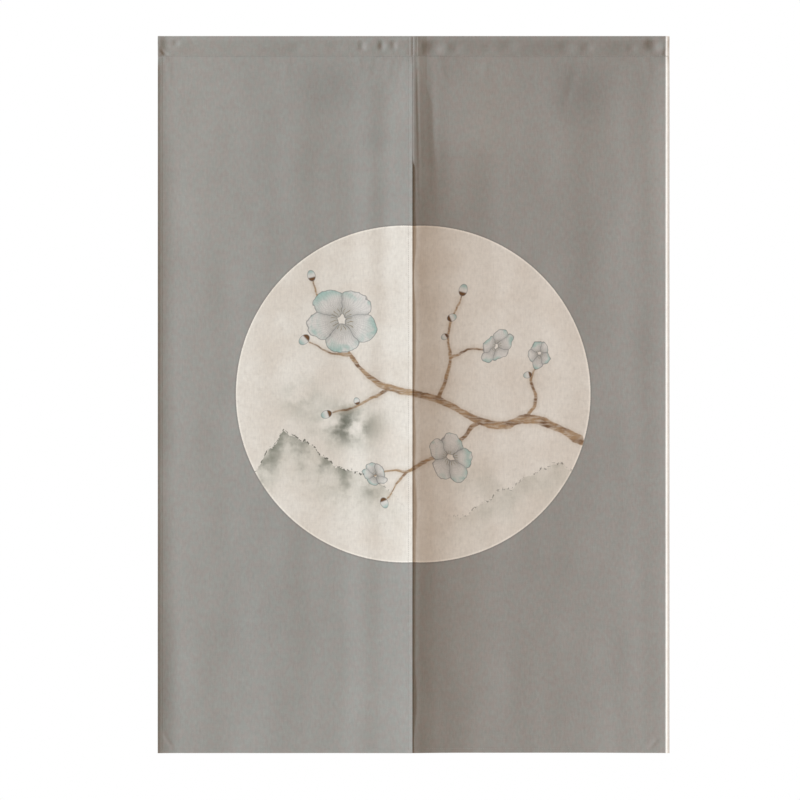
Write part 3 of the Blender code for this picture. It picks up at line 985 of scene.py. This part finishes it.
def cloth_material(name, weave, face, round_x=None, tint_and_painted_shade=(1.0, 1.0, 1.0), shade=None, cream_share=0.0):
    """Woven linen-cotton, matt and slightly slubby.

    face is the group that gives its print, or None where it is bare. cream_share is how much of the
    unprinted cream shows, which is most of it on the reverse, where the print only strikes through.
    """
    material = bpy.data.materials.new(name)
    material.use_nodes = True
    tree = material.node_tree
    shader = tree.nodes["Principled BSDF"]
    shader.inputs["Roughness"].default_value = 0.88
    shader.inputs["Specular IOR Level"].default_value = 0.20
    shader.inputs["Sheen Weight"].default_value = 0.10
    shader.inputs["Sheen Roughness"].default_value = 0.45
    metres = add(tree, "UVMap", uv_map="cloth")
    place = add(tree, "VectorMath SCALE", metres, 1000.0)
    woven = add(tree, "Group", place, node_tree=weave).node.outputs
    if cream_share > 0.0:
        colour = add(
            tree, "Mix RGBA",
            add(tree, "MapRange SMOOTHSTEP", cloud(tree, place, 60.0, 3.0, 4.0), 0.3, 0.7), srgb("f6f1e8"),
            srgb("f1ebe1"),
        )
    if face is not None:
        middle = () if round_x is None else ((round_x * 1000, 0.0, 0.0),)
        printed = add(tree, "Group", place, *middle, node_tree=face)
        # On the right panel, painted shade beside the slit darkens and warms the print
        if shade is not None:
            darker = add(tree, "Group", place, node_tree=shade)
            printed = add(tree, "VectorMath MULTIPLY", printed, darker)
        colour = add(tree, "Mix RGBA", cream_share, printed, colour) if cream_share > 0.0 else printed
    # The yarn's slubs vary its tone, and through the weave's height the colour is also a little paler where the yarns
    # stand higher: painted light and shade of the weave's relief
    yarn = add(tree, "Math ADD", add(tree, "Math MULTIPLY", woven["Slub"], 0.17), 1.0)
    yarn = add(tree, "Math ADD", yarn, add(tree, "Math MULTIPLY", woven["Height"], 0.05))
    colour = add(tree, "VectorMath SCALE", colour, yarn)
    # The tint, which on the right panel also holds painted shade
    colour = add(tree, "VectorMath MULTIPLY", colour, tint_and_painted_shade)
    tree.links.new(colour, shader.inputs["Base Color"])
    relief = add(tree, "Bump", 0.45, 0.0003, None, woven["Height"])
    tree.links.new(relief, shader.inputs["Normal"])
    return material


def cloth_materials(side, round_x, tint_and_painted_shade, shade, weave, ground, face):
    """The five materials of one side's pieces, in the order of their slots."""
    reverse = 0.62
    return [
        cloth_material("printed linen " + side, weave, ground, None, tint_and_painted_shade, shade),
        cloth_material("linen reverse " + side, weave, ground, None, tint_and_painted_shade, shade, reverse),
        cloth_material("printed linen round " + side, weave, face, round_x, tint_and_painted_shade, shade),
        cloth_material("linen reverse round " + side, weave, face, round_x, tint_and_painted_shade, shade, reverse),
        cloth_material("unprinted linen " + side, weave, None, cream_share=1.0),
    ]


def thread_material():
    """Spun polyester sewing thread: a soft sheen, its tone a little uneven from stitch to stitch."""
    material = bpy.data.materials.new("sewing thread")
    material.use_nodes = True
    tree = material.node_tree
    shader = tree.nodes["Principled BSDF"]
    shader.inputs["Roughness"].default_value = 0.55
    shader.inputs["Sheen Weight"].default_value = 0.15
    place = add(tree, "TexCoord", out=3)
    uneven = cloud(tree, place, 0.004, 2.0, 1.0)
    colour = add(
        tree, "Mix RGBA", add(tree, "MapRange SMOOTHSTEP", uneven, 0.3, 0.7), srgb("9d9890"), srgb("aea9a0"),
    )
    tree.links.new(colour, shader.inputs["Base Color"])
    # The plies of the thread, 0.5 mm apart, drawn as coarse as they need to be to show at all
    plies = add(tree, "TexWave", place, 320.0, 1.5, out=1, bands_direction="DIAGONAL")
    relief = add(tree, "Bump", 0.5, 0.0001, None, plies)
    tree.links.new(relief, shader.inputs["Normal"])
    return material


# Stitches

STITCH = 0.0026
STITCH_PITCH = 0.0033
STITCH_THICK = 0.00042
STITCH_OUT = 0.00006  # how far the thread's middle lies above the cloth
STITCH_IN = 0.0070  # from a hem's edge
POCKET_STITCH = 0.0009  # above the pocket's foot


def stitch_tree(material):
    """Geometry Nodes that lay a short length of thread at even steps along the edges of a mesh."""
    tree = bpy.data.node_groups.new("running stitch", "GeometryNodeTree")
    tree.interface.new_socket(name="Lines", in_out="INPUT", socket_type="NodeSocketGeometry")
    for label in ("Pitch", "Length", "Thickness"):
        tree.interface.new_socket(name=label, in_out="INPUT", socket_type="NodeSocketFloat")
    tree.interface.new_socket(name="Stitches", in_out="OUTPUT", socket_type="NodeSocketGeometry")
    takes = tree.nodes.new("NodeGroupInput").outputs
    curve = add(tree, "GeometryNodeMeshToCurve", takes["Lines"])
    steps = add(tree, "GeometryNodeResampleCurve", curve, None, takes["Pitch"], mode="LENGTH")
    thread = add(tree, "GeometryNodeMeshUVSphere", 6, 5, 0.5)
    thread = add(tree, "GeometryNodeSetShadeSmooth", thread)
    tangent = add(tree, "GeometryNodeInputTangent")
    turn = add(tree, "FunctionNodeAlignRotationToVector", None, None, tangent, axis="X")
    size = add(tree, "CombineXYZ", takes["Length"], takes["Thickness"], takes["Thickness"])
    stitches = add(tree, "GeometryNodeInstanceOnPoints", steps, None, thread, None, None, turn, size)
    stitches = add(tree, "GeometryNodeRealizeInstances", stitches)
    stitches = add(tree, "GeometryNodeSetMaterial", stitches, None, material)
    tree.links.new(stitches, tree.nodes.new("NodeGroupOutput").inputs[0])
    return tree


def stitched(name, lines, tree):
    """The stitches along several lines of points, as one plain mesh."""
    points, edges = [], []
    for line in lines:
        first = len(points)
        points.extend(line.tolist())
        edges.extend((i, i + 1) for i in range(first, len(points) - 1))
    mesh = bpy.data.meshes.new(name + "_lines")
    mesh.from_pydata(points, edges, [])
    holder = bpy.data.objects.new(name + "_lines", mesh)
    bpy.context.scene.collection.objects.link(holder)
    modifier = holder.modifiers.new("stitches", "NODES")
    modifier.node_group = tree
    sizes = {"Pitch": STITCH_PITCH, "Length": STITCH, "Thickness": STITCH_THICK}
    for item in tree.interface.items_tree:
        if item.in_out == "INPUT" and item.name in sizes:
            modifier[item.identifier] = sizes[item.name]
    depsgraph = bpy.context.evaluated_depsgraph_get()
    made = bpy.data.meshes.new_from_object(holder.evaluated_get(depsgraph))
    made.name = name
    bpy.data.objects.remove(holder)
    piece = bpy.data.objects.new(name, made)
    bpy.context.scene.collection.objects.link(piece)
    return piece


def panel_stitches(x_from, x_to, forward):
    """Lines of stitches round one panel's hems, on both sides of the cloth."""
    x = even_steps(x_from + STITCH_IN, x_to - STITCH_IN, 0.004)
    drop = even_steps(POCKET + 0.004, DROP - STITCH_IN, 0.004)
    lines = [on_cloth(forward, x, np.full_like(x, drop[-1]))]
    lines += [on_cloth(forward, np.full_like(drop, side), drop) for side in (x[0], x[-1])]
    front = (0.0, -CLOTH / 2 - STITCH_OUT, 0.0)
    back = (0.0, CLOTH / 2 + HEM_EXTRA + STITCH_OUT, 0.0)
    return [line + offset for line in lines for offset in (front, back)]


def pocket_stitches(x_from, x_to):
    """The line of stitches that holds the pocket's foot, on its front and on its back."""
    section, along = pocket_section(28, 20)
    x = even_steps(x_from + 0.003, x_to - 0.003, 0.003)
    lines = []
    for wall, offset in ((section[-24:], -CLOTH / 2), (section[:24], CLOTH / 2 + HEM_EXTRA)):
        wall = wall[np.argsort(wall[:, 1])]
        drop = FOOT - POCKET_STITCH
        y = np.interp(drop, wall[:, 1], wall[:, 0]) + offset + math.copysign(STITCH_OUT, offset)
        lines.append(np.stack([x, np.full_like(x, y), np.full_like(x, -drop)], -1))
    return lines


def bar_tack(x, drop, half_width):
    """A short dense bar of stitches across the top of the slit."""
    across = even_steps(x - half_width, x + half_width, 0.001)
    rows = [
        on_cloth(left_forward, across, np.full_like(across, drop + step)) for step in (-0.0008, 0.0, 0.0008)
    ]
    return [row + (0.0, -CLOTH / 2 - STITCH_OUT, 0.0) for row in rows]


# Light, camera and floor

def sun(azimuth, elevation, strength, colour, soft):
    """A distant light. Azimuth 0 is in front of the cloth and 90 on its right, in degrees."""
    light = bpy.data.lights.new("studio light", "SUN")
    light.energy = strength
    light.color = colour
    light.angle = math.radians(soft)
    lamp = bpy.data.objects.new("studio light", light)
    bpy.context.scene.collection.objects.link(lamp)
    a, e = math.radians(azimuth), math.radians(elevation)
    towards = Vector((math.sin(a) * math.cos(e), -math.cos(a) * math.cos(e), math.sin(e)))
    lamp.rotation_euler = towards.to_track_quat("Z", "Y").to_euler()


def studio():
    """The camera square on to the cloth, the light and a white surround."""
    scene = bpy.context.scene
    scene.view_settings.view_transform = "Standard"
    lens = bpy.data.cameras.new("camera")
    lens.lens = LENS
    lens.sensor_width = SENSOR
    lens.clip_end = 60.0
    camera = bpy.data.objects.new("camera", lens)
    scene.collection.objects.link(camera)
    camera.location = (PICTURE_MIDDLE[0], -PICTURE_WIDTH * LENS / SENSOR, PICTURE_MIDDLE[1])
    camera.rotation_euler = Euler((math.pi / 2, 0.0, 0.0))
    scene.camera = camera
    sun(-64.0, 12.0, 4.0, (0.78, 0.88, 1.0), 6.0)
    sun(158.0, 34.0, 2.5, (0.94, 0.96, 1.0), 20.0)
    world = bpy.data.worlds.new("studio")
    scene.world = world
    world.use_nodes = True
    tree = world.node_tree
    fill = tree.nodes["Background"]
    fill.inputs["Color"].default_value = (1.0, 0.77, 0.59, 1.0)
    fill.inputs["Strength"].default_value = 0.385
    surround = tree.nodes.new("ShaderNodeBackground")
    surround.inputs["Color"].default_value = (1.0, 1.0, 1.0, 1.0)
    seen = tree.nodes.new("ShaderNodeLightPath")
    both = tree.nodes.new("ShaderNodeMixShader")
    tree.links.new(seen.outputs["Is Camera Ray"], both.inputs[0])
    tree.links.new(fill.outputs[0], both.inputs[1])
    tree.links.new(surround.outputs[0], both.inputs[2])
    tree.links.new(both.outputs[0], tree.nodes["World Output"].inputs["Surface"])


def floor():
    """A plain pale floor."""
    mesh = bpy.data.meshes.new("floor")
    half, drop = 1.7, -2.0  # the curtain's top hangs two metres above it
    mesh.from_pydata(
        [(-half, -half, drop), (half, -half, drop), (half, half, drop), (-half, half, drop)], [],
        [(0, 1, 2, 3)],
    )
    material = bpy.data.materials.new("pale floor")
    material.use_nodes = True
    tree = material.node_tree
    colour = add(
        tree, "Mix RGBA", cloud(tree, add(tree, "TexCoord", out=3), 0.4, 2.0), srgb("f2f1ee"),
        srgb("eeedea"),
    )
    tree.links.new(colour, tree.nodes["Principled BSDF"].inputs["Base Color"])
    tree.nodes["Principled BSDF"].inputs["Roughness"].default_value = 0.8
    mesh.materials.append(material)
    piece = bpy.data.objects.new("floor", mesh)
    bpy.context.scene.collection.objects.link(piece)


def dress():
    """Makes every piece, attaches each to the root and hides the solids that the cloth pieces replace."""
    weave = weave_group()
    ground = ground_group()
    face = round_group(ground, picture_group())
    # Painted shade for the right panel beside the slit
    shade = painted_slit_shade_group()
    # The right panel's tint is darker and warmer than the left's: that difference is painted shade, for a panel turned
    # from the light
    left = cloth_materials("left", LEFT_ROUND_X, (0.87, 0.87, 0.87), None, weave, ground, face)
    right = cloth_materials("right", RIGHT_ROUND_X, (0.784, 0.751, 0.733), shade, weave, ground, face)
    thread = thread_material()
    pieces = (
        panel("panel_left_cloth", -WIDTH / 2, LEFT_EDGE, left_forward, LEFT_ROUND_X, left),
        panel(
            "panel_right_cloth", LEFT_EDGE - LAP, WIDTH / 2, right_forward, RIGHT_ROUND_X, right, RIGHT_FINE,
            TUCK,
        ),
        pocket("pocket_left_cloth", -WIDTH / 2, LEFT_EDGE - 0.00003, left),
        pocket("pocket_right_cloth", LEFT_EDGE + 0.00003, WIDTH / 2, right),
    )
    tree = stitch_tree(thread)
    left_lines = panel_stitches(-WIDTH / 2, LEFT_EDGE, left_forward) + bar_tack(-0.0068, SEAM, 0.003)
    right_lines = panel_stitches(LEFT_EDGE - LAP - TUCK, WIDTH / 2, right_forward)
    stitches = (
        stitched("stitches_left", left_lines + pocket_stitches(-WIDTH / 2, LEFT_EDGE), tree),
        stitched("stitches_right", right_lines + pocket_stitches(LEFT_EDGE, WIDTH / 2), tree),
    )
    nodes = ("panel_left", "panel_right", "pocket_left", "pocket_right")
    slots = ("printed_cloth", "printed_cloth", "pocket_cloth", "pocket_cloth")
    for piece, node, slot in zip(pieces, nodes, slots):
        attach(piece, "root")
        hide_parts(node)
    for piece in stitches:
        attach(piece, "root")


dress()
floor()
studio()
